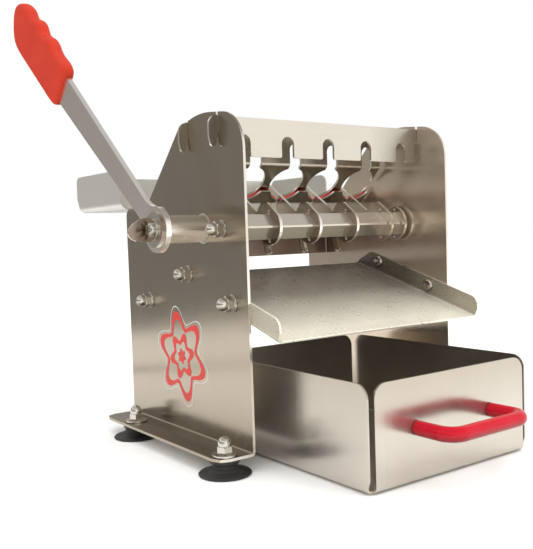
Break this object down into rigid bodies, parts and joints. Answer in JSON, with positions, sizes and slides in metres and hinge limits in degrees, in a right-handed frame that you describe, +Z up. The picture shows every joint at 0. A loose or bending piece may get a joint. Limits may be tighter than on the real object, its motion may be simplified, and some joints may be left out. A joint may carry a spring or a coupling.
{
  "type": "lever cherry pitter",
  "caption": "Tabletop cherry pitter: a side lever turns arms with curved pins through a row of rubber seats, between sheet-steel plates, with hopper, chute and pit drawer.",
  "frame": {"origin": "centre of the footprint of the whole part's bounding box, on the table", "axes": "+X along the pitting shaft, away from the lever; -Y towards the user, the way the drawer pulls out; +Z up"},
  "size_m": [0.3134, 0.388, 0.3636],
  "materials": {
    "brushed_steel": "brushed stainless sheet with a fine vertical grain",
    "satin_steel": "satin stainless sheet",
    "bright_fasteners": "bright stainless fasteners and turned parts",
    "red_rubber": "soft red rubber",
    "red_grip": "satin orange-red moulded grip",
    "red_handle": "glossy red",
    "bush_plastic": "natural bearing plastic",
    "black_rubber": "black rubber"
  },
  "bodies": {
    "frame": {"side_plate_left": "brushed_steel", "side_plate_right": "brushed_steel", "front_comb": "brushed_steel", "lane_plate": "brushed_steel", "seat_lip_rubber": "red_rubber", "seat_lip_clamp": "brushed_steel", "hopper_tray": "satin_steel", "cherry_seat_1": "red_rubber", "cherry_seat_2": "red_rubber", "cherry_seat_3": "red_rubber", "cherry_seat_4": "red_rubber", "cherry_seat_5": "red_rubber", "discharge_chute": "satin_steel", "pit_guard": "satin_steel", "brace_tube": "brushed_steel", "brace_rod": "brushed_steel", "chute_screws": "bright_fasteners", "chute_washers": "bright_fasteners", "chute_acorn_nuts": "bright_fasteners", "brace_washers": "bright_fasteners", "brace_acorn_nuts": "bright_fasteners", "keeper_screw": "bright_fasteners", "keeper_washer": "bright_fasteners", "keeper_acorn_nut": "bright_fasteners", "suction_cup_front_left": "black_rubber", "suction_cup_rear_left": "black_rubber", "suction_cup_front_right": "black_rubber", "suction_cup_rear_right": "black_rubber", "foot_studs": "bright_fasteners", "foot_washers": "bright_fasteners", "foot_acorn_nuts": "bright_fasteners", "bush_left": "bush_plastic", "bush_right": "bush_plastic"},
    "rotor": {"rotor_shaft": "brushed_steel", "rotor_arm_1": "brushed_steel", "rotor_arm_2": "brushed_steel", "rotor_arm_3": "brushed_steel", "rotor_arm_4": "brushed_steel", "rotor_arm_5": "brushed_steel", "end_disc_left": "brushed_steel", "end_disc_right": "brushed_steel", "pitting_pin_1": "bright_fasteners", "pitting_pin_2": "bright_fasteners", "pitting_pin_3": "bright_fasteners", "pitting_pin_4": "bright_fasteners", "pitting_pin_5": "bright_fasteners", "drive_sleeve": "brushed_steel", "idle_journal": "brushed_steel", "idle_washer": "bright_fasteners", "idle_screw": "bright_fasteners", "lever_bar": "brushed_steel", "lever_grip": "red_grip", "hub_clip": "brushed_steel", "hub_washer": "bright_fasteners", "hub_screw": "bright_fasteners"},
    "drawer": {"drawer_box": "satin_steel", "drawer_handle": "red_handle", "handle_screws": "bright_fasteners"}
  },
  "joints": [
    {"name": "lever_turn", "type": "hinge", "parent": "frame", "child": "rotor", "pos_m": [0.01933, -0.01136, 0.169], "axis": [1, 0, 0], "range_deg": [0, 112]},
    {"name": "drawer_slide", "type": "slide", "parent": "frame", "child": "drawer", "axis": [0, -1, 0], "range_m": [-0.088, 0.05]}
  ]
}
